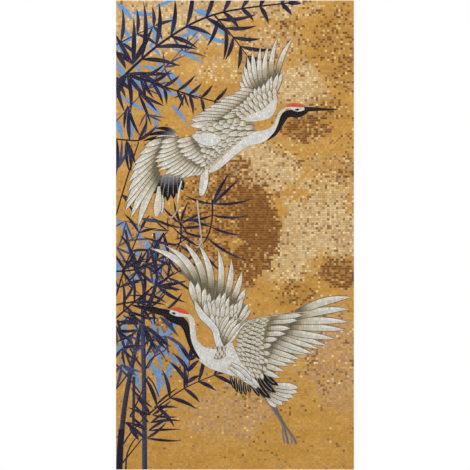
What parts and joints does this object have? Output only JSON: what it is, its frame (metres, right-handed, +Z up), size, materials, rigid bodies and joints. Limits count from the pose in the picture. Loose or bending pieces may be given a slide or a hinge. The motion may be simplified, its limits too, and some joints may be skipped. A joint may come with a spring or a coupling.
{
  "type": "mosaic mural panel",
  "caption": "Tall flat wall panel of glass mosaic: cranes in flight over bamboo on a gold ground, laid on a thin backing board.",
  "frame": {"origin": "middle of the panel's back face, on the wall", "axes": "+X to the viewer's right, +Z up, +Y into the wall; the mosaic faces -Y"},
  "size_m": [1.1766, 0.018, 2.32],
  "materials": {
    "cement_board": "matt",
    "ochre_glass": "gloss",
    "ivory_glass": "gloss",
    "black_glass": "gloss",
    "red_glass": "gloss",
    "grey_glass": "gloss",
    "navy_glass": "gloss"
  },
  "bodies": {
    "root": {"backing_board": "cement_board", "ground": "ochre_glass", "crane_high_crown": "red_glass", "crane_high_eye": "black_glass", "crane_high_cheek": "ivory_glass", "crane_high_beak": "black_glass", "crane_high_mask": "black_glass", "crane_high_body": "ivory_glass", "crane_high_raised_wing": "ivory_glass", "crane_high_lowered_wing": "ivory_glass", "crane_high_plumes_below": "black_glass", "crane_high_plumes_above": "black_glass", "crane_high_leg": "grey_glass", "crane_low_crown": "red_glass", "crane_low_eye": "black_glass", "crane_low_cheek": "ivory_glass", "crane_low_beak": "black_glass", "crane_low_mask": "black_glass", "crane_low_body": "ivory_glass", "crane_low_spread_wing": "ivory_glass", "crane_low_raised_wing": "ivory_glass", "crane_low_plumes_behind": "black_glass", "crane_low_plumes_under": "black_glass", "crane_low_tail": "ivory_glass", "crane_low_leg": "grey_glass", "bamboo_above": "navy_glass", "bamboo_below": "navy_glass"}
  },
  "joints": []
}
